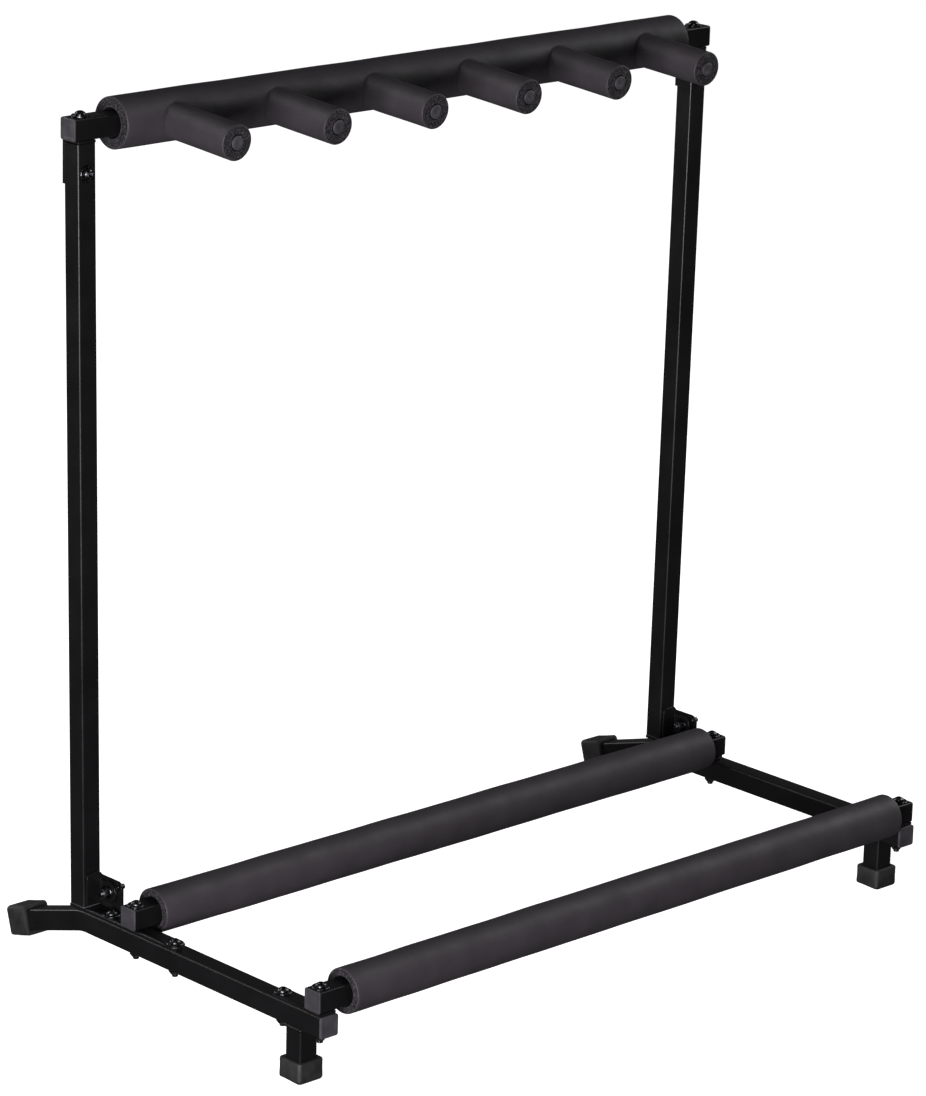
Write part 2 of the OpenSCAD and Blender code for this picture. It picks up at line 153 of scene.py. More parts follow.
camera_data = bpy.data.cameras.new("camera")
camera_data.lens = CAMERA_LENS
camera_data.clip_end = 100
camera = bpy.data.objects.new("camera", camera_data)
axes = camera_axes(CAMERA_AZIMUTH, CAMERA_ELEVATION, CAMERA_ROLL)
camera.matrix_world = Matrix.Translation(CAMERA_AT) @ Matrix(axes).transposed().to_4x4()
bpy.context.collection.objects.link(camera)
bpy.context.scene.camera = camera
bpy.context.scene.view_settings.view_transform = "Standard"
print("camera stands at", tuple(round(v, 3) for v in CAMERA_AT))


# %% [markdown]
# ## Nodes and colours
# A material is a small graph. One helper adds any node, sets it and wires it, so each
# finish below reads as a list of steps. Colours are chosen as sRGB hex values, the way
# a paint chart gives them, and the renderer wants linear light, so one function turns
# them.

# %% Helpers for materials
def linear(hex_colour):
    """sRGB hex to linear RGBA: each channel goes through the sRGB curve."""
    value = np.array([int(hex_colour[i : i + 2], 16) for i in (1, 3, 5)]) / 255
    curve = np.where(value <= 0.04045, value / 12.92, ((value + 0.055) / 1.055) ** 2.4)
    return (*curve.tolist(), 1.0)


def add(tree, kind, inputs=None, **settings):
    """Adds a node: settings are its properties, and inputs gives each socket a value or
    another node's socket to be wired to."""
    node = tree.nodes.new(kind)
    for name, value in settings.items():
        setattr(node, name, value)
    for name, value in (inputs or {}).items():
        if isinstance(value, bpy.types.NodeSocket):
            tree.links.new(value, node.inputs[name])
        else:
            node.inputs[name].default_value = value
    return node


def start_material(name):
    """An empty material with its shader and the place of each point on its piece."""
    material = bpy.data.materials.new(name)
    material.use_nodes = True
    tree = material.node_tree
    place = add(tree, "ShaderNodeTexCoord").outputs["Object"]
    return material, tree, tree.nodes["Principled BSDF"], place


def per_mm(size):
    """Texture scale at which one cell of the pattern is size millimetres."""
    return 1000 / size


# %% [markdown]
# ## Black powder coat
# The tubes and brackets are mild steel, sprayed with charged polyester powder and baked.
# The melt leaves a fine orange peel, about a millimetre across, and a satin gloss that
# varies a little from place to place. An image texture would need the tubes unwrapped,
# so the peel is a bump of noise, and a slower noise moves the roughness, which is what
# breaks up the reflection along a tube.

# %% Powder-coated steel
POWDER_BLACK = "#0b0a0b"
POWDER_GREY = "#121113"


def make_powder_coat():
    """Satin black polyester powder coat with orange peel."""
    material, tree, shader, place = start_material("satin_black_powder_coat")
    drift = add(tree, "ShaderNodeTexNoise", {"Vector": place, "Scale": per_mm(35), "Detail": 3.0})
    colour = add(tree, "ShaderNodeMix", {0: drift.outputs["Fac"]}, data_type="RGBA")
    colour.inputs[6].default_value = linear(POWDER_BLACK)
    colour.inputs[7].default_value = linear(POWDER_GREY)
    gloss = add(
        tree,
        "ShaderNodeMapRange",
        {
            "Value": drift.outputs["Fac"],
            "From Min": 0.3,
            "From Max": 0.7,
            "To Min": 0.28,
            "To Max": 0.4,
        },
    )
    peel = add(tree, "ShaderNodeTexNoise", {"Vector": place, "Scale": per_mm(1.4), "Detail": 2.0})
    bump = add(
        tree,
        "ShaderNodeBump",
        {"Height": peel.outputs["Fac"], "Strength": 0.35, "Distance": 0.00015},
    )
    tree.links.new(colour.outputs[2], shader.inputs["Base Color"])
    tree.links.new(gloss.outputs["Result"], shader.inputs["Roughness"])
    tree.links.new(bump.outputs["Normal"], shader.inputs["Normal"])
    shader.inputs["Specular IOR Level"].default_value = 0.3
    return material


powder_coat = make_powder_coat()
print("made", powder_coat.name)

# %% [markdown]
# ## Foam
# The sleeves are extruded nitrile rubber foam. Its skin is closed and satin, with fine
# pores and a faint mottling; where a sleeve is cut to length the cells are open, and the
# face is a coarse mix of lighter walls and of pits painted near black as their shade. One
# material with a mask could do for both, but skin and cut face meet at an edge, so they
# are two materials on one piece.

# %% Foam skin and cut foam
FOAM_DARK = "#302c31"
FOAM_LIGHT = "#383439"
PAINTED_PIT_SHADE = "#040304"
# painted shade: the open cells' pits are coloured near black, as the shade that falls in them
CELL_WALL = "#4e4a50"
PORE_MM = 0.9
CELL_MM = 1.7  # real cells are half this, which would show as an even grey


def make_foam_skin():
    """Charcoal foam skin: slow mottling of colour and gloss, with pores as small pits."""
    material, tree, shader, place = start_material("nitrile_foam_skin")
    mottle = add(tree, "ShaderNodeTexNoise", {"Vector": place, "Scale": per_mm(28), "Detail": 5.0})
    spread = add(
        tree,
        "ShaderNodeMapRange",
        {"Value": mottle.outputs["Fac"], "From Min": 0.3, "From Max": 0.7},
    )
    colour = add(tree, "ShaderNodeMix", {0: spread.outputs["Result"]}, data_type="RGBA")
    colour.inputs[6].default_value = linear(FOAM_DARK)
    colour.inputs[7].default_value = linear(FOAM_LIGHT)
    pores = add(tree, "ShaderNodeTexVoronoi", {"Vector": place, "Scale": per_mm(PORE_MM)})
    pit = add(
        tree,
        "ShaderNodeMapRange",
        {"Value": pores.outputs["Distance"], "From Min": 0.0, "From Max": 0.35},
    )
    swell = add(tree, "ShaderNodeTexNoise", {"Vector": place, "Scale": per_mm(9), "Detail": 3.0})
    fine = add(
        tree,
        "ShaderNodeBump",
        {"Height": pit.outputs["Result"], "Strength": 0.3, "Distance": 0.0001},
    )
    slow = add(
        tree,
        "ShaderNodeBump",
        {
            "Height": swell.outputs["Fac"],
            "Strength": 0.25,
            "Distance": 0.0012,
            "Normal": fine.outputs["Normal"],
        },
    )
    gloss = add(
        tree,
        "ShaderNodeMapRange",
        {"Value": spread.outputs["Result"], "To Min": 0.62, "To Max": 0.52},
    )
    tree.links.new(colour.outputs[2], shader.inputs["Base Color"])
    tree.links.new(gloss.outputs["Result"], shader.inputs["Roughness"])
    tree.links.new(slow.outputs["Normal"], shader.inputs["Normal"])
    shader.inputs["Specular IOR Level"].default_value = 0.28
    return material


def make_cut_foam():
    """Open cells on a sawn end: walls, and pits painted near black as shade, from the distance to a
    cell's edge.
    """
    material, tree, shader, place = start_material("nitrile_foam_cut")
    cells = add(
        tree,
        "ShaderNodeTexVoronoi",
        {"Vector": place, "Scale": per_mm(CELL_MM), "Randomness": 1.0},
        feature="DISTANCE_TO_EDGE",
    )
    walls = add(
        tree,
        "ShaderNodeMapRange",
        {
            "Value": cells.outputs["Distance"],
            "From Min": 0.03,
            "From Max": 0.2,
            "To Min": 1.0,
            "To Max": 0.0,
        },
    )
    speck = add(tree, "ShaderNodeTexNoise", {"Vector": place, "Scale": per_mm(2.6), "Detail": 2.0})
    patch = add(
        tree,
        "ShaderNodeMapRange",
        {
            "Value": speck.outputs["Fac"],
            "From Min": 0.38,
            "From Max": 0.62,
            "To Min": 0.2,
            "To Max": 0.9,
        },
    )
    share = add(
        tree,
        "ShaderNodeMath",
        {0: walls.outputs["Result"], 1: patch.outputs["Result"]},
        operation="MULTIPLY",
    )
    # painted shade: the pits take the near-black colour and the walls the lighter one
    colour = add(tree, "ShaderNodeMix", {0: share.outputs["Value"]}, data_type="RGBA")
    colour.inputs[6].default_value = linear(PAINTED_PIT_SHADE)
    colour.inputs[7].default_value = linear(CELL_WALL)
    bump = add(
        tree,
        "ShaderNodeBump",
        {"Height": share.outputs["Value"], "Strength": 0.8, "Distance": 0.0006},
    )
    tree.links.new(colour.outputs[2], shader.inputs["Base Color"])
    tree.links.new(bump.outputs["Normal"], shader.inputs["Normal"])
    shader.inputs["Roughness"].default_value = 0.85
    shader.inputs["Specular IOR Level"].default_value = 0.25
    return material


foam_skin = make_foam_skin()
cut_foam = make_cut_foam()
print("made", foam_skin.name, "and", cut_foam.name)

# %% [markdown]
# ## Rubber and plug plastic
# The feet are moulded rubber: dark, dull, with a dry bloom that lightens it in patches.
# The tube plugs are injection-moulded polyethylene in a lighter grey, with a fine
# sparked texture. The lock nuts' nylon collars are smoother and nearly black. All three
# are one grain of bump over a slow change of colour, so one function makes them from a
# row of numbers each.

# %% Moulded finishes
MOULDED = {
    # name: (dark, light, mottle in mm, grain in mm, low and high roughness, bump depth in mm)
    "moulded_rubber": ("#121113", "#1f1e20", 11, 0.8, 0.58, 0.72, 0.12),
    "grey_polyethylene": ("#302e32", "#3f3c41", 14, 0.6, 0.42, 0.52, 0.06),
    "nylon_collar": ("#131316", "#1f2024", 5, 0.5, 0.4, 0.5, 0.05),
}


def make_moulded(name):
    """A moulded material: two close tones mixed by slow noise, under a fine grain."""
    dark, light, mottle_mm, grain_mm, smooth, rough, depth_mm = MOULDED[name]
    material, tree, shader, place = start_material(name)
    mottle = add(
        tree,
        "ShaderNodeTexNoise",
        {"Vector": place, "Scale": per_mm(mottle_mm), "Detail": 4.0},
    )
    spread = add(
        tree,
        "ShaderNodeMapRange",
        {"Value": mottle.outputs["Fac"], "From Min": 0.32, "From Max": 0.68},
    )
    colour = add(tree, "ShaderNodeMix", {0: spread.outputs["Result"]}, data_type="RGBA")
    colour.inputs[6].default_value = linear(dark)
    colour.inputs[7].default_value = linear(light)
    dullness = add(
        tree,
        "ShaderNodeMapRange",
        {"Value": spread.outputs["Result"], "To Min": smooth, "To Max": rough},
    )
    grain = add(
        tree,
        "ShaderNodeTexNoise",
        {"Vector": place, "Scale": per_mm(grain_mm), "Detail": 2.0},
    )
    bump = add(
        tree,
        "ShaderNodeBump",
        {"Height": grain.outputs["Fac"], "Strength": 0.5, "Distance": depth_mm / 1000},
    )
    tree.links.new(colour.outputs[2], shader.inputs["Base Color"])
    tree.links.new(dullness.outputs["Result"], shader.inputs["Roughness"])
    tree.links.new(bump.outputs["Normal"], shader.inputs["Normal"])
    return material


rubber, polyethylene, nylon = (make_moulded(name) for name in MOULDED)
print("made", ", ".join(MOULDED))

# %% [markdown]
# ## Black zinc
# Screws, washers and nuts are steel with a black zinc finish: a metal, so its colour is
# in the reflection, dark and a little blue, and polished enough to glint from its edges.
# Handling wears it lighter in specks, which a fine noise mixes in.

# %% Black zinc finish
ZINC_DARK = "#2e2e31"
ZINC_WORN = "#75757a"


def make_black_zinc():
    """Dark metal whose roughness and tone change in small specks."""
    material, tree, shader, place = start_material("black_zinc_steel")
    specks = add(tree, "ShaderNodeTexNoise", {"Vector": place, "Scale": per_mm(1.6), "Detail": 4.0})
    spread = add(
        tree,
        "ShaderNodeMapRange",
        {"Value": specks.outputs["Fac"], "From Min": 0.42, "From Max": 0.72},
    )
    colour = add(tree, "ShaderNodeMix", {0: spread.outputs["Result"]}, data_type="RGBA")
    colour.inputs[6].default_value = linear(ZINC_DARK)
    colour.inputs[7].default_value = linear(ZINC_WORN)
    polish = add(
        tree,
        "ShaderNodeMapRange",
        {"Value": spread.outputs["Result"], "To Min": 0.24, "To Max": 0.4},
    )
    tree.links.new(colour.outputs[2], shader.inputs["Base Color"])
    tree.links.new(polish.outputs["Result"], shader.inputs["Roughness"])
    shader.inputs["Metallic"].default_value = 1.0
    return material


black_zinc = make_black_zinc()
print("made", black_zinc.name)


# %% [markdown]
# ## Surfaces from arrays
# Every new piece is a grid of points: rows one way, columns the other, with the last
# joined to the first where the surface closes on itself. Whole arrays go in at once,
# which is far quicker than adding one vertex after another. A closed surface that came
# out inside out has a negative volume, so the helper measures it and turns the faces
# round if need be.

# %% Grids and pieces
def grid_faces(rows, columns, close_rows=True):
    """Quads between neighbours of a grid that closes round its columns: corner number is
    row times columns plus column."""
    r = np.arange(rows if close_rows else rows - 1)
    c = np.arange(columns)
    r, c = np.meshgrid(r, c, indexing="ij")
    r_next, c_next = (r + 1) % rows, (c + 1) % columns
    corners = [
        r * columns + c,
        r * columns + c_next,
        r_next * columns + c_next,
        r_next * columns + c,
    ]
    return np.stack(corners, axis=-1).reshape(-1, 4)


def signed_volume(points, quads):
    """Six times the volume inside the quads: the sum of corner triple products."""
    a, b, c, d = (points[quads[:, i]] for i in range(4))
    first = np.einsum("ij,ij->i", a, np.cross(b, c)).sum()
    return first + np.einsum("ij,ij->i", a, np.cross(c, d)).sum()


def make_piece(name, shells, materials, sharp=35):
    """One object from several shells of (points, quads, end caps, material numbers)."""
    all_points, all_faces, all_numbers, start = [], [], [], 0
    for points, quads, caps, numbers in shells:
        points = points.reshape(-1, 3)
        turned = signed_volume(points, quads) < 0
        faces = (quads[:, ::-1] if turned else quads) + start
        all_faces += faces.tolist()
        all_faces += [[v + start for v in (cap[::-1] if turned else cap)] for cap in caps]
        all_numbers += list(numbers) + [0] * len(caps)
        all_points.append(points)
        start += len(points)
    mesh = bpy.data.meshes.new(name)
    mesh.from_pydata(np.vstack(all_points).tolist(), [], all_faces)
    for material in materials:
        mesh.materials.append(material)
    mesh.polygons.foreach_set("material_index", all_numbers)
    mesh.shade_smooth()
    mesh.set_sharp_from_angle(angle=np.radians(sharp))
    piece = bpy.data.objects.new(name, mesh)
    bpy.context.collection.objects.link(piece)
    return piece


def closed_shell(points, numbers=None):
    """A shell from a grid that closes both ways, such as a ring or a sleeve."""
    rows, columns = points.shape[:2]
    quads = grid_faces(rows, columns)
    return points, quads, [], np.zeros(len(quads), int) if numbers is None else numbers


def capped_shell(points):
    """A shell from a grid that closes round its columns and has a flat face at each end."""
    rows, columns = points.shape[:2]
    quads = grid_faces(rows, columns, close_rows=False)
    first = list(range(columns))[::-1]
    last = list(range((rows - 1) * columns, rows * columns))
    return points, quads, [first, last], np.zeros(len(quads), int)


def finish_piece(piece, body, slot, *nodes):
    """Says which body the piece rides on and the nodes it stands for; slot is not used."""
    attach(piece, body)
    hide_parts(*nodes)
    print(f"{piece.name}: {len(piece.data.polygons)} faces")
    return piece


# %% [markdown]
# ## Foam sleeves
# A sleeve is a ring-shaped profile carried round the tube: along the skin, over a small
# rounded edge, across the cut face and back through the bore. Real foam is never quite
# round, so a few slow waves move the skin by a few tenths of a millimetre, and the cut
# faces are rough by the size of their cells. A Screw modifier could turn the profile, but
# the waves need every point. The bore is round and as wide as the square tube's corners,
# so a gap shows beside each flat of the tube.

# %% The profile of a sleeve
FOAM_EDGE = 1.6
EDGE_RINGS = 6
BORE_RINGS = 12
CUT_STEP = 0.8
CELL_DEPTH = 0.35
RAIL_WAVES = 0.35
PEG_WAVES = 0.25
noise = np.random.default_rng(7)


def sleeve_profile(length, outer, bore, step):
    """Loop of (place along, radius, is it cut face) round a sleeve's wall."""
    bend = np.linspace(0, np.pi / 2, EDGE_RINGS)
    flat = np.arange(outer - FOAM_EDGE, bore, -CUT_STEP)[1:]
    skin_s = np.linspace(FOAM_EDGE, length - FOAM_EDGE, int(length / step))[1:-1]
    far_s = length - FOAM_EDGE + FOAM_EDGE * np.sin(bend)
    near_s = FOAM_EDGE - FOAM_EDGE * np.cos(bend)
    edge_r = outer - FOAM_EDGE + FOAM_EDGE * np.cos(bend)
    bore_s = np.linspace(length, 0, BORE_RINGS)
    edge_cut = (np.arange(EDGE_RINGS) >= EDGE_RINGS - 2).astype(int)
    parts = [
        (skin_s, np.full(len(skin_s), outer), np.zeros(len(skin_s), int)),
        (far_s, edge_r, edge_cut),
        (np.full(len(flat), length), flat, np.ones(len(flat), int)),
        (bore_s, np.full(BORE_RINGS, bore), np.zeros(BORE_RINGS, int)),
        (np.zeros(len(flat)), flat[::-1], np.ones(len(flat), int)),
        (near_s, edge_r[::-1], edge_cut[::-1]),
    ]
    return [np.concatenate(column) for column in zip(*parts)]


def skin_waves(s, angle, depth):
    """Slow waves of the skin: a sum of five sines along and round, each at random."""
    waves = np.zeros(np.broadcast(s, angle).shape)
    for _ in range(5):
        period = noise.uniform(60, 260)
        turns = noise.integers(0, 4)
        phase = noise.uniform(0, 2 * np.pi)
        waves += np.sin(2 * np.pi * s / period + turns * angle + phase)
    return waves * depth / 5


def cut_numbers(cut, columns):
    """Material number of each quad: 1 where both rows of the profile are cut face."""
    both = (cut + np.roll(cut, -1)) == 2
    return np.repeat(both.astype(int), columns)


# %% Sleeves on the rails
RAIL_COLUMNS = 176
RAIL_STEP = 5


def rail_foam(name, start_x, length, y, z, outer, bore):
    """Sleeve along X round the rail at y, z: radius and place along give each ring."""
    columns = RAIL_COLUMNS
    s, r, cut = sleeve_profile(length, outer, bore, RAIL_STEP)
    angle = np.linspace(0, 2 * np.pi, columns, endpoint=False)
    s, r, on_cut = s[:, None], r[:, None], cut[:, None]
    ragged = noise.uniform(-CELL_DEPTH, CELL_DEPTH, (len(cut), columns)) * on_cut
    inward = np.where(s < length / 2, 1, -1)
    along = s + np.abs(ragged) * inward
    radius = r + skin_waves(s, angle, RAIL_WAVES) * (1 - on_cut) * (r > bore + 1)
    x = start_x + along + 0 * angle
    points = np.stack([x, y + radius * np.cos(angle), z + radius * np.sin(angle)], axis=-1)
    shell = closed_shell(to_scene(points), cut_numbers(cut, columns))
    piece = make_piece(name, [shell], [foam_skin, cut_foam], sharp=50)
    return piece


TOP_FOAM_R = 23.5
LOW_FOAM_R = 20.75
FOAM_BORE_R = 14.2
TOP_BARE = (48, 43.5)
REAR_BARE = (29, 25)
FRONT_BARE = (35, 27)
LOW_MID_Z = LOW_RAIL_Z + HALF

top_foam = rail_foam(
    "top_rail_foam",
    TOP_BARE[0] - TOP_END,
    RACK_W + 2 * TOP_END - sum(TOP_BARE),
    HALF,
    RAIL_MID_Z,
    TOP_FOAM_R,
    FOAM_BORE_R,
)
finish_piece(top_foam, "upper_frame", "foam", "top_foam")
for name, node, y, bare in (
    ("rear_rail_foam", "rear_foam", REAR_RAIL_Y, REAR_BARE),
    ("front_rail_foam", "front_foam", FRONT_RAIL_Y, FRONT_BARE),
):
    sleeve = rail_foam(name, bare[0], RACK_W - sum(bare), y, LOW_MID_Z, LOW_FOAM_R, FOAM_BORE_R)
    finish_piece(sleeve, "base", "foam", node)

# %% [markdown]
# ## Pegs
# A peg's sleeve is the same loop, but its root is not square: it is cut to saddle the
# rail's foam. A point of the peg at height v over its axis leaves a cylinder of radius R
# at the distance sqrt(R² - v²), so each column of the grid starts there. A Boolean could
# cut the saddle, but it leaves long thin faces that shade badly. The plug in its tip is a
# flat dome with a small dimple, turned from a profile.

# %% Peg measures
PEG_PITCH = 116.5
PEGS_MID = RACK_W / 2 + 2
PEG_REACH = 105
PEG_DROOP = np.radians(4)
PEG_FOAM_R = 16.5
PEG_BORE_R = 7.6
PEG_TUBE_END = PEG_REACH - 1.5
SADDLE_GAP = 0.3
PEG_DIRECTION = np.array([0, -np.cos(PEG_DROOP), -np.sin(PEG_DROOP)])
PEG_ACROSS = np.array([1, 0, 0])
PEG_RISE = np.array([0, -np.sin(PEG_DROOP), np.cos(PEG_DROOP)])
print("six pegs,", PEG_PITCH, "mm apart")


def on_peg(number, along, angle, radius):
    """Points at a place along a peg, an angle round it and a radius from its axis."""
    middle = np.array([PEGS_MID + (number - 3.5) * PEG_PITCH, HALF, RAIL_MID_Z])
    across = (radius * np.cos(angle))[..., None] * PEG_ACROSS
    rise = (radius * np.sin(angle))[..., None] * PEG_RISE
    return middle + along[..., None] * PEG_DIRECTION + across + rise


# %% Peg sleeves
PEG_COLUMNS = 96
PEG_STEP = 3


def peg_foam(number):
    """Sleeve from the saddle to the tip: s / length runs from 0 at the root to 1 at the
    tip, and sets each point's share of the way from the saddle to the tube's end."""
    columns = PEG_COLUMNS
    length = PEG_TUBE_END - TOP_FOAM_R
    s, r, cut = sleeve_profile(length, PEG_FOAM_R, PEG_BORE_R, PEG_STEP)
    angle = np.linspace(0, 2 * np.pi, columns, endpoint=False)
    s, r, on_cut = s[:, None], r[:, None], cut[:, None]
    radius = r + skin_waves(s, angle, PEG_WAVES) * (1 - on_cut) * (r > PEG_BORE_R + 1)
    saddle = np.sqrt((TOP_FOAM_R + SADDLE_GAP) ** 2 - (radius * np.sin(angle)) ** 2)
    ragged = noise.uniform(0, CELL_DEPTH, (len(cut), columns)) * on_cut * (s > length / 2)
    along = saddle + s / length * (PEG_TUBE_END - saddle) - ragged
    points = on_peg(number, along, angle + 0 * s, radius)
    shell = closed_shell(to_scene(points), cut_numbers(cut, columns))
    piece = make_piece(f"peg_sleeve_{number}", [shell], [foam_skin, cut_foam], sharp=50)
    return piece


for number in range(1, 7):
    finish_piece(peg_foam(number), "upper_frame", "foam", f"peg_foam_{number}")

# %% Peg plugs
PLUG_R = 6.5
# (past the tube's end, radius), from the spigot's end in the tube to the dome's dimple
PLUG_PROFILE = np.array(
    [
        (-9, 0.4),
        (-9, 5.0),
        (0.02, 5.0),
        (0.05, PLUG_R),
        (0.5, PLUG_R + 0.1),
        (0.95, PLUG_R - 0.1),
        (1.25, 5.9),
        (1.4, 4.8),
        (1.45, 3.6),
        (1.3, 3.1),
        (0.95, 2.4),
        (0.8, 0.3),
    ]
)


def peg_plug_shell(number):
    """A turned dome: each profile point goes round the peg's axis."""
    angle = np.linspace(0, 2 * np.pi, 48, endpoint=False)
    angle = angle + np.zeros((len(PLUG_PROFILE), 1))
    along = PEG_TUBE_END + PLUG_PROFILE[:, :1] + 0 * angle
    radius = PLUG_PROFILE[:, 1:] + 0 * angle
    return capped_shell(to_scene(on_peg(number, along, angle, radius)))


shells = [peg_plug_shell(number) for number in range(1, 7)]
plugs = make_piece("peg_end_plugs", shells, [polyethylene])
finish_piece(plugs, "upper_frame", "plug_plastic", "peg_plugs")


# %% [markdown]
# ## Legs
# Each leg is one square tube, bent behind the upright. The tube's section is a square
# with round corners, and its path is straight, then an arc, then straight again. A curve
# with a bevel profile would give the outside only. Here the section is carried along the
# path outside, and back inside at the wall's distance, so the piece is a tube with a real
# wall and open ends.

# %% Section and path
def round_square(half_side, corner, per_corner=7):
    """Outline of a square with round corners: four quarter circles, joined by flats."""
    quarter = np.linspace(0, np.pi / 2, per_corner)
    angle = (quarter[None, :] + np.arange(4)[:, None] * np.pi / 2).ravel()
    middle = np.arange(4) * np.pi / 2 + np.pi / 4
    reach = (half_side - corner) * np.sqrt(2)
    u = np.repeat(reach * np.cos(middle), per_corner) + corner * np.cos(angle)
    v = np.repeat(reach * np.sin(middle), per_corner) + corner * np.sin(angle)
    return np.stack([u, v], axis=-1)


BEND_R = 60
LEG_RINGS = (17, 17, 5)  # in the level part, in the arc and in the heel


def leg_path():
    """Middle line of the leg in Y and Z, with its direction: flat, an arc, then down."""
    level, arc, heel = LEG_RINGS
    straight = BEND_R * np.tan(HEEL_SLOPE / 2)
    turn = np.linspace(0, HEEL_SLOPE, arc)
    arc_y = BEND_Y - straight + (BEND_R - HALF) * np.sin(turn)
    arc_z = -BEND_R + (BEND_R - HALF) * np.cos(turn)
    ahead = np.linspace(-LEG_REACH, arc_y[0], level + 1)[:-1]
    rest = np.linspace(0, HEEL_LEN - FOOT_WALL - straight, heel + 1)[1:]
    y = [ahead, arc_y, arc_y[-1] + rest * np.cos(HEEL_SLOPE)]
    z = [np.full(level, -HALF), arc_z, arc_z[-1] - rest * np.sin(HEEL_SLOPE)]
    slope = [np.zeros(level), turn, np.full(heel, HEEL_SLOPE)]
    return np.concatenate(y), np.concatenate(z), np.concatenate(slope)


def leg_shell(left_x):
    """The section's u goes across and its v square to the path."""
    y, z, slope = leg_path()
    rings = []
    for inset, order in ((0, slice(None)), (WALL, slice(None, None, -1))):
        section = round_square(HALF - inset, CORNER - inset)
        u, v = section[None, :, 0], section[None, :, 1]
        ring_y = y[order, None] + v * np.sin(slope[order, None])
        ring_z = z[order, None] + v * np.cos(slope[order, None])
        rings.append(np.stack([left_x + HALF + u + 0 * ring_y, ring_y, ring_z], axis=-1))
    return closed_shell(to_scene(np.concatenate(rings)))


for side, left_x in SIDES:
    leg = make_piece(f"{side}_bent_leg", [leg_shell(left_x)], [powder_coat])
    finish_piece(leg, "base", "coated_steel", f"{side}_leg")


# %% [markdown]
# ## Plugs and feet
# All of these are stacks of rounded squares: each ring has a height, a half side and a
# corner radius. A cube with a Bevel modifier gives one edge radius all over, and a stack
# gives each edge its own. A plug has a low crown and a soft edge. A foot is a thick cup
# with a lip round the tube; the floor cuts its sole flat, because the tube meets it at an
# angle.

# %% Stacks of rounded squares
def stack(rings, origin, across, up, out):
    """Rings of (height, half side, corner) carried along the direction out."""
    outlines = np.array([round_square(half_side, corner) for _, half_side, corner in rings])
    height = np.array([ring[0] for ring in rings])[:, None, None]
    u, v = outlines[..., :1], outlines[..., 1:]
    return np.array(origin) + u * np.array(across) + v * np.array(up) + height * np.array(out)


def plug_rings(rim):
    """A tube plug: spigot in the tube, then a rim with a soft edge and a low crown."""
    return [
        (-5, 8.4, 0.8),
        (0.02, 8.4, 0.8),
        (0.03, 9.7, 1.8),
        (0.2, 10.0, 2.0),
        (rim - 0.6, 10.0, 2.0),
        (rim - 0.25, 9.85, 1.9),
        (rim - 0.05, 9.5, 1.7),
        (rim, 8.9, 1.6),
        (rim - 0.05, 8.0, 1.5),
        (rim - 0.22, 7.4, 1.3),
        (rim - 0.22, 4.0, 1.0),
    ]


X, Y, Z = np.eye(3)
RAILS = (
    ("top_rail_end_plugs", "top_rail_plugs", "upper_frame", HALF, RAIL_MID_Z, TOP_END),
    ("rear_rail_end_plugs", "rear_rail_plugs", "base", REAR_RAIL_Y, LOW_MID_Z, 0),
    ("front_rail_end_plugs", "front_rail_plugs", "base", FRONT_RAIL_Y, LOW_MID_Z, 0),
)
for name, node, body, y, z, over in RAILS:
    left = to_scene(stack(plug_rings(PLUG_RIM), (PLUG_RIM - over, y, z), Y, Z, -X))
    right = to_scene(stack(plug_rings(PLUG_RIM), (RACK_W + over - PLUG_RIM, y, z), Y, Z, X))
    piece = make_piece(name, [capped_shell(left), capped_shell(right)], [polyethylene])
    finish_piece(piece, body, "plug_plastic", node)

UPRIGHT_Z = 4.3
for side, left_x in SIDES:
    front = to_scene(stack(plug_rings(PLATE), (left_x + HALF, -LEG_REACH, -HALF), X, Z, -Y))
    piece = make_piece(f"{side}_leg_end_plug", [capped_shell(front)], [polyethylene])
    finish_piece(piece, "base", "plug_plastic", f"{side}_leg_plug")
    below = stack(plug_rings(PLUG_RIM), (left_x + HALF, HALF, UPRIGHT_Z), X, Y, -Z)
    below = to_scene(lean_out(below, left_x))
    piece = make_piece(f"{side}_upright_end_plug", [capped_shell(below)], [polyethylene])
    finish_piece(piece, "upper_frame", "plug_plastic", f"{side}_upright_plug")


# %% Rubber feet
def foot_rings(height, pocket, sole):
    """A cup foot from the floor of its pocket, over its lip and down to its sole."""
    outer = FOOT_SIDE / 2
    return [
        (pocket, 10.0, 2.0),
        (height - 0.9, 10.0, 2.0),
        (height - 0.2, 10.3, 2.2),
        (height, 10.9, 2.6),
        (height, outer - 1.2, 3.4),
        (height - 0.3, outer - 0.5, 3.8),
        (height - 1.2, outer - 0.1, 4.0),
        (height * 0.5, outer - 0.2, 4.0),
        (3.0, outer, 4.0),
        (1.6, outer, 4.0),
        (0.5, outer - 0.3, 3.8),
        (sole, outer - 0.8, 3.4),
        (sole, 6.0, 2.0),
    ]


def on_floor(points):
    """Points under the floor are brought up to it, which flattens the sole."""
    points[..., 2] = np.maximum(points[..., 2], 0)
    return points


REAR_FOOT_LEN = 26
heel_out = np.array([0, np.cos(HEEL_SLOPE), -np.sin(HEEL_SLOPE)])
heel_up = np.array([0, np.sin(HEEL_SLOPE), np.cos(HEEL_SLOPE)])
for side, left_x in SIDES:
    below_post = (left_x + HALF, POST_Y, -FOOT_DROP)
    rings = foot_rings(FOOT_H, 2 * FOOT_WALL, -0.7)
    foot = on_floor(to_scene(stack(rings, below_post, X, Y, Z)))
    piece = make_piece(f"{side}_front_rubber_foot", [capped_shell(foot)], [rubber])
    finish_piece(piece, "base", "rubber", f"{side}_front_foot")
    corner_of_bend = np.array([left_x + HALF, BEND_Y, 0])
    heel_end = corner_of_bend + heel_out * HEEL_LEN - heel_up * HALF
    rings = foot_rings(REAR_FOOT_LEN, FOOT_WALL, 0)
    foot = on_floor(to_scene(stack(rings, heel_end, X, heel_up, -heel_out)))
    piece = make_piece(f"{side}_rear_rubber_foot", [capped_shell(foot)], [rubber])
    finish_piece(piece, "base", "rubber", f"{side}_rear_foot")


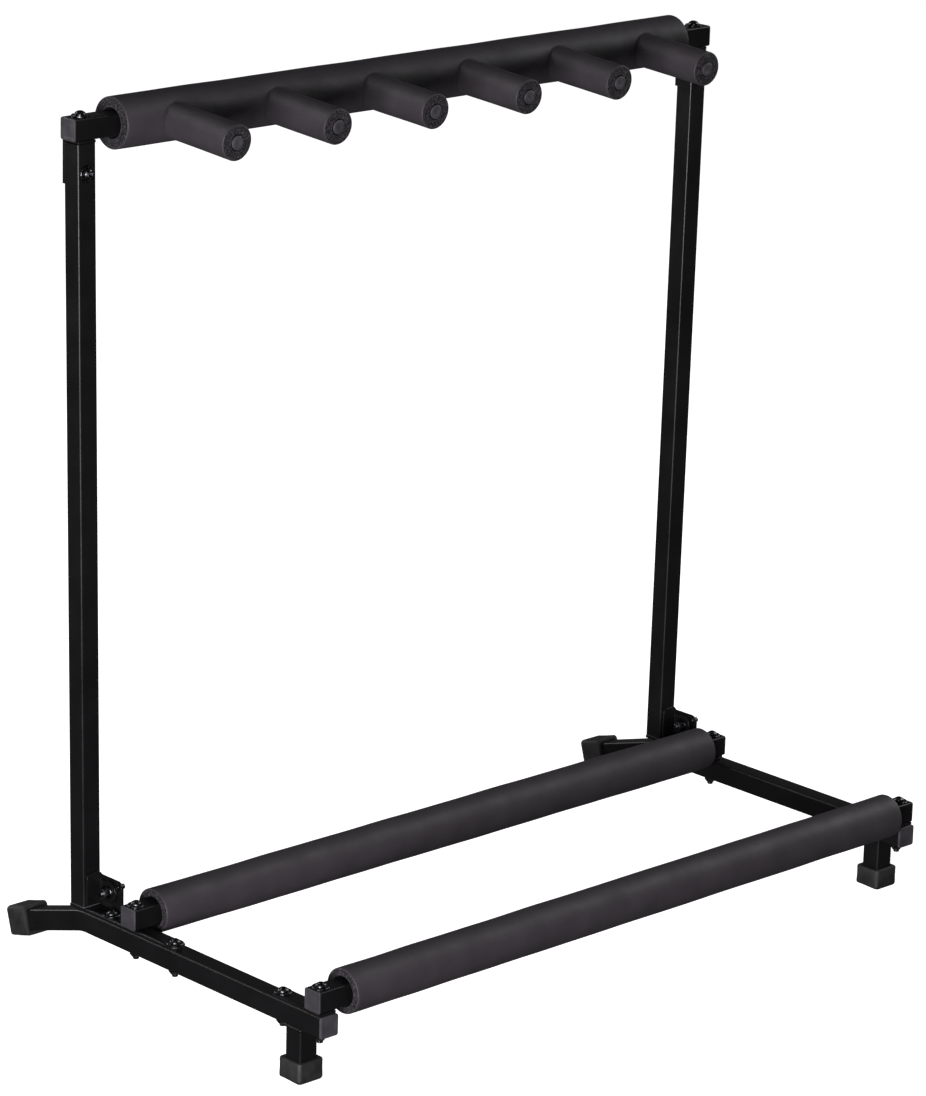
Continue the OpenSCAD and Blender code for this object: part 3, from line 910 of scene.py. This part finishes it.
# %% [markdown]
# ## Fasteners
# A button head is a dome with a six-sided socket. A Boolean could sink the socket, but
# both fit one grid: the radius of a hexagon changes with the angle, and the rings pass
# from the socket's floor up its walls and over the dome. The shank's thread is a ridge
# that climbs one pitch per turn. The lock nuts are hexagons with chamfered corners and a
# nylon collar.

# %% Shapes of fasteners
def hexagon(angle, across_flats):
    """Radius of a hexagon at an angle: half the flats over the cosine to the nearest."""
    nearest = (angle + np.pi / 6) % (np.pi / 3) - np.pi / 6
    return across_flats / 2 / np.cos(nearest)


HEAD_R = 5.25
HEAD_H = 3.3
HEAD_SOCKET = 4
HEAD_CROWN = 0.864  # share of the head's radius, squared, that the dome loses at its top
SHANK_R = 2.78
THREAD_DEPTH = 0.2
THREAD_PITCH = 1.0
FASTENER_COLUMNS = 36


def screw_shape(length):
    """A button-head screw on z = 0: socket, dome, head's edge, then threaded shank."""
    angle = np.linspace(0, 2 * np.pi, FASTENER_COLUMNS, endpoint=False)
    hexed = hexagon(angle, HEAD_SOCKET)
    dome = np.linspace(0.12, 1, 9)
    dome_r = HEAD_R * np.sqrt(1 - HEAD_CROWN * (1 - dome) ** 2)
    rings = [
        (HEAD_H - 2.1, hexed * 0.3),
        (HEAD_H - 2.0, hexed * 0.96),
        (HEAD_H - 1.9, hexed),
        (HEAD_H - 0.25, hexed),
        (HEAD_H - 0.02, hexed * 1.08),
        (HEAD_H, hexed * 1.2),
    ]
    dome_z = HEAD_H * (1 - dome) + 0.25 * dome
    edge = [(0.05, HEAD_R - 0.1), (0, HEAD_R - 0.3), (0, 3)]
    rings += [(z, r + 0 * angle) for z, r in [*zip(dome_z, dome_r), *edge]]
    for z in np.arange(-0.5, -length + 0.4, -THREAD_PITCH / 4):
        climb = z / THREAD_PITCH - angle / (2 * np.pi)
        rings.append((z, SHANK_R + THREAD_DEPTH * np.sin(2 * np.pi * climb)))
    rings += [(-length + 0.3, 2.6 + 0 * angle), (-length, 2.1 + 0 * angle)]
    z = np.array([ring[0] for ring in rings])[:, None] + 0 * angle
    r = np.array([ring[1] for ring in rings])
    return np.stack([r * np.cos(angle), r * np.sin(angle), z], axis=-1)


def washer_shape(radius, thickness):
    """A washer on z = 0: a closed loop with stamped, slightly rounded edges."""
    angle = np.linspace(0, 2 * np.pi, 48, endpoint=False)
    soft = 0.25
    top = thickness - soft
    profile = [
        (3.2, soft),
        (3.2, top),
        (3.4, thickness),
        (radius - soft, thickness),
        (radius, top),
        (radius, soft),
        (radius - soft, 0),
        (3.4, 0),
    ]
    r, z = (np.array(column)[:, None] for column in zip(*profile))
    return np.stack([r * np.cos(angle), r * np.sin(angle), z + 0 * angle], axis=-1)


def nut_shapes():
    """A lock nut under z = 0: the hexagon with chamfered corners, and its collar."""
    angle = np.linspace(0, 2 * np.pi, 72, endpoint=False)
    flats, bore = 10, 3.05
    hexed = hexagon(angle, flats)
    chamfer = np.minimum(hexed, 5.15)
    body = [(0, 3.1), (0, chamfer), (-0.5, hexed), (-3.5, hexed), (-4, chamfer), (-4, 4.4)]
    collar = [(-4, 4.4), (-5.2, 4.3), (-5.8, 3.9), (-6, 3.5), (-5.8, 3.15)]
    rings = [body + [(-4, bore), (-0.2, bore)], collar + [(-5.6, bore), (-4, bore)]]
    shapes = []
    for ring in rings:
        z = np.array([z for z, _ in ring])[:, None] + 0 * angle
        r = np.array([r + 0 * angle for _, r in ring])
        shapes.append(np.stack([r * np.cos(angle), r * np.sin(angle), z], axis=-1))
    return shapes


# %% Places of fasteners
DOWN = np.stack([X, Y, Z], axis=-1)
TO_FRONT = np.stack([X, Z, -Y], axis=-1)
TO_RIGHT = np.stack([-Z, Y, X], axis=-1)
WASHER_T = 1.5
NUT_H = 6
TIE_AHEAD_OF_REAR = 55
TIE_BEHIND_FRONT = 49
PLATE_SCREW_Y = -28
FAR_X = RACK_W - HALF
RAIL_TOP = LOW_RAIL_Z + TUBE
PIVOT_NUT_X = 16.0
EAR_X = TUBE + 0.3

rail_places = [(x, y, RAIL_TOP) for x in (HALF, FAR_X) for y in (REAR_RAIL_Y, FRONT_RAIL_Y)]
tie_ys = (REAR_RAIL_Y - TIE_AHEAD_OF_REAR, FRONT_RAIL_Y + TIE_BEHIND_FRONT)
tie_places = [(HALF, y, PLATE) for y in tie_ys]
screw_places = [(x, PLATE_SCREW_Y, PLATE) for x in (HALF, FAR_X)]
top_bolt_xs = (HALF - OUT_AT_TOP, FAR_X + OUT_AT_TOP)
rail_end_places = [(x, HALF, RAIL_RISE + TUBE) for x in top_bolt_xs]
upright_places = [(x, 0, BRACKET_BOLT_Z) for x in top_bolt_xs]
pivot_places = [(left_x, PIVOT[1], PIVOT[2]) for _, left_x in SIDES]
print("screws through the base:", len(rail_places + tie_places + screw_places))


def put(shape, turn, places, shift=0):
    """Copies of a shape, turned so that its z points along turn's last column."""
    lifted = shape + np.array([0, 0, shift])
    return [to_scene(lifted @ turn.T + np.array(place)) for place in places]


def fasteners(name, body, slot, node, solids, rings=()):
    """One piece from capped solids and closed rings, for one CAD node."""
    shells = [capped_shell(points) for points in solids]
    shells += [closed_shell(points) for points in rings]
    finish_piece(make_piece(name, shells, [black_zinc], sharp=30), body, slot, node)


# %% Screws and washers
through = WASHER_T + TUBE + NUT_H + PLATE
for name, node, places, length in (
    ("rail_screws", "rail_bolts", rail_places, through + RAIL_TOP),
    ("tie_screws", "tie_bolts", tie_places, through + PLATE),
    ("plate_screws", "hinge_screws", screw_places, 12),
):
    screws = put(screw_shape(length), DOWN, places, WASHER_T)
    fasteners(name, "base", "bolt_steel", node, screws)
big_washer = washer_shape(8, WASHER_T)
fasteners(
    "base_flat_washers",
    "base",
    "nut_steel",
    "base_washers",
    [],
    put(big_washer, DOWN, rail_places + tie_places + screw_places),
)
upper_screw = screw_shape(through + PLATE)
screws = put(upper_screw, DOWN, rail_end_places, WASHER_T)
screws += put(upper_screw, TO_FRONT, upright_places, WASHER_T)
fasteners("bracket_screws", "upper_frame", "bolt_steel", "upper_bolts", screws)
fasteners(
    "upper_flat_washers",
    "upper_frame",
    "nut_steel",
    "upper_washers",
    [],
    put(big_washer, DOWN, rail_end_places) + put(big_washer, TO_FRONT, upright_places),
)
pivot_screw = screw_shape(PLATE + EAR_X - PIVOT_NUT_X + NUT_H + PLATE)
fasteners(
    "pivot_screws",
    "base",
    "bolt_steel",
    "pivot_bolts",
    put(pivot_screw, TO_RIGHT, pivot_places, EAR_X + PLATE),
)
small_washer = washer_shape(6, 1.2)
fasteners(
    "pivot_flat_washers",
    "base",
    "nut_steel",
    "pivot_washers",
    [],
    put(small_washer, TO_RIGHT, pivot_places, PIVOT_NUT_X),
)


# %% Lock nuts
def lock_nuts(name, body, node, turned_places):
    """Nuts for one CAD node, from (turn, places, shift) of each group."""
    shells = []
    for number, shape in enumerate(nut_shapes()):
        for turn, places, shift in turned_places:
            for points in put(shape, turn, places, shift):
                numbers = np.full(points.shape[0] * points.shape[1], number)
                shells.append(closed_shell(points, numbers))
    finish_piece(make_piece(name, shells, [black_zinc, nylon], sharp=30), body, "nut_steel", node)


under_rails = [(x, y, 0) for x, y, _ in rail_places + tie_places]
lock_nuts("base_lock_nuts", "base", "base_nuts", [(DOWN, under_rails, -TUBE)])
lock_nuts(
    "upper_lock_nuts",
    "upper_frame",
    "upper_nuts",
    [(DOWN, rail_end_places, -TUBE - PLATE), (TO_FRONT, upright_places, -TUBE - PLATE)],
)
lock_nuts("pivot_lock_nuts", "base", "pivot_nuts", [(TO_RIGHT, pivot_places, PIVOT_NUT_X)])

# %% [markdown]
# ## Stamped plates
# The brackets, leaves, tie plate and stop pins already have their shape. A real plate is
# tumbled before it is coated, so its edges are soft and catch the light. Making them
# again would risk moving a hole, so a copy of the CAD mesh is merged, its flat faces are
# joined, and a Bevel modifier rounds its edges.

# %% Plates with soft edges
PLATE_NODES = {
    "base": [
        "left_hinge_bracket",
        "right_hinge_bracket",
        "front_tie_plate",
        "front_spacer",
        "fold_stop_pins",
    ],
    "upper_frame": ["left_hinge_leaf", "right_hinge_leaf", "left_top_bracket", "right_top_bracket"],
}


PLATE_EDGE = 0.0004


def soft_plate(node, body, slot, material):
    """A merged copy of a CAD plate, with a bevel of PLATE_EDGE metres on its edges."""
    mesh = frame["nodes"][node].data.copy()
    work = bmesh.new()
    work.from_mesh(mesh)
    bmesh.ops.remove_doubles(work, verts=work.verts, dist=1e-6)
    bmesh.ops.dissolve_limit(work, angle_limit=np.radians(1), verts=work.verts, edges=work.edges)
    work.to_mesh(mesh)
    work.free()
    mesh.materials.clear()
    mesh.materials.append(material)
    mesh.shade_smooth()
    piece = bpy.data.objects.new(node + "_plate", mesh)
    bpy.context.collection.objects.link(piece)
    bevel = piece.modifiers.new("soft edge", "BEVEL")
    bevel.width = PLATE_EDGE
    bevel.segments = 2
    bevel.limit_method = "ANGLE"
    bevel.angle_limit = np.radians(40)
    bevel.harden_normals = True
    return finish_piece(piece, body, slot, node)


for body, nodes in PLATE_NODES.items():
    for node in nodes:
        is_pin = node == "fold_stop_pins"
        finish = ("bolt_steel", black_zinc) if is_pin else ("coated_steel", powder_coat)
        soft_plate(node, body, *finish)


# %% [markdown]
# ## Welds
# The foot posts are welded under the legs. A bead swells and shrinks where each drop of
# metal froze. A curve with an even bevel would look like wire, so the bead is a thin tube
# round the joint whose radius is a row of scallops along the path.

# %% Weld beads round the posts
BEAD_R = 1.25
BEAD_SWELL = 0.28
DROP_MM = 2.2


def weld_bead(left_x):
    """A bead round the post's top: its radius is BEAD_R and the size of a sine's swell,
    with one scallop every DROP_MM along the path."""
    outline = round_square(HALF + 0.3, CORNER, per_corner=12)
    step = np.linalg.norm(np.roll(outline, -1, axis=0) - outline, axis=1)
    run = np.concatenate([[0], np.cumsum(step)])
    place = np.linspace(0, run[-1], 180, endpoint=False)
    looped = np.vstack([outline, outline[:1]])
    u, v = (np.interp(place, run, looped[:, i]) for i in range(2))
    out = np.stack([u, v], axis=-1) / np.hypot(u, v)[:, None]
    radius = BEAD_R + BEAD_SWELL * np.abs(np.sin(np.pi * place / DROP_MM))
    angle = np.linspace(0, 2 * np.pi, 14, endpoint=False)
    side = radius[:, None] * np.cos(angle)
    x = left_x + HALF + u[:, None] + out[:, :1] * side
    y = POST_Y + v[:, None] + out[:, 1:] * side
    z = -TUBE + radius[:, None] * np.sin(angle)
    return closed_shell(to_scene(np.stack([x, y, z], axis=-1)))


for side, left_x in SIDES:
    bead = make_piece(f"{side}_post_weld", [weld_bead(left_x)], [powder_coat], sharp=60)
    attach(bead, "base")
    print(f"{bead.name}: {len(bead.data.polygons)} faces")

# %% [markdown]
# ## Steel that stays
# The rails, uprights, foot posts and peg tubes keep their CAD meshes: their sections
# already have round corners, so a new mesh would add nothing. Each slot of such a node
# takes the powder coat.

# %% Coat the kept nodes
kept = ["top_rail", "rear_rail", "front_rail", "left_upright", "right_upright"]
kept += ["left_foot_post", "right_foot_post"] + [f"peg_tube_{n}" for n in range(1, 7)]
for node in kept:
    for material_slot in frame["nodes"][node].material_slots:
        material_slot.material = powder_coat
print("coated", len(kept), "kept nodes")

# %% [markdown]
# ## Studio
# The rack stands on a plain pale floor. Black things are lit by what they reflect, and a
# white room all round would turn them grey. So the floor and the surround are bright to
# the camera only: the floor glows and is hidden from reflections, and the surround is dim
# for every other ray. The key light stands low at the left, and four weaker ones draw the
# edges from above, from the right and from behind.

# %% Floor
FLOOR_COLOUR = "#f6f5f5"
FLOOR_GLOW = 0.9
FLOOR_REACH = 30
floor_mesh = bpy.data.meshes.new("floor")
corners = [(-1, -1, 0), (1, -1, 0), (1, 1, 0), (-1, 1, 0)]
floor_mesh.from_pydata((np.array(corners) * FLOOR_REACH).tolist(), [], [(0, 1, 2, 3)])
floor = bpy.data.objects.new("floor", floor_mesh)
floor_paint = bpy.data.materials.new("pale_floor")
floor_paint.use_nodes = True
floor_shader = floor_paint.node_tree.nodes["Principled BSDF"]
floor_shader.inputs["Base Color"].default_value = linear(FLOOR_COLOUR)
floor_shader.inputs["Emission Color"].default_value = linear("#ffffff")
floor_shader.inputs["Emission Strength"].default_value = FLOOR_GLOW
floor_shader.inputs["Roughness"].default_value = 0.9
floor_shader.inputs["Specular IOR Level"].default_value = 0.0
floor_mesh.materials.append(floor_paint)
floor.visible_diffuse = False
floor.visible_glossy = False
bpy.context.collection.objects.link(floor)
print("floor is", 2 * FLOOR_REACH, "m wide")

# %% Surround
SURROUND_GLOW = 0.06
world = bpy.data.worlds.new("surround")
world.use_nodes = True
world_tree = world.node_tree
seen = add(world_tree, "ShaderNodeLightPath").outputs["Is Camera Ray"]
strength = add(
    world_tree,
    "ShaderNodeMapRange",
    {"Value": seen, "To Min": SURROUND_GLOW, "To Max": 1.0},
)
backdrop = world_tree.nodes["Background"]
backdrop.inputs["Color"].default_value = linear("#ffffff")
world_tree.links.new(strength.outputs["Result"], backdrop.inputs["Strength"])
bpy.context.scene.world = world
print("surround:", world.name)


# %% Lights
def area_light(name, place, size, power):
    """A soft light at place, facing the rack's middle, with its sides and its power."""
    data = bpy.data.lights.new(name, "AREA")
    data.shape = "RECTANGLE"
    data.size, data.size_y = size
    data.energy = power
    light = bpy.data.objects.new(name, data)
    facing = (Vector((0, 0, 0.4)) - Vector(place)).to_track_quat("-Z", "Y")
    light.matrix_world = Matrix.Translation(place) @ facing.to_matrix().to_4x4()
    bpy.context.collection.objects.link(light)


area_light("key", (-2.6, -1.7, 0.62), (1.2, 1.1), 145)
area_light("top", (-1.0, 1.8, 2.2), (0.5, 0.5), 7)
area_light("glint", (1.9, -0.9, 2.3), (0.5, 0.5), 9)
area_light("back", (2.9, -0.2, 1.5), (1.2, 1.6), 26)
area_light("far", (-1.2, 3.2, 1.3), (1.6, 1.2), 30)
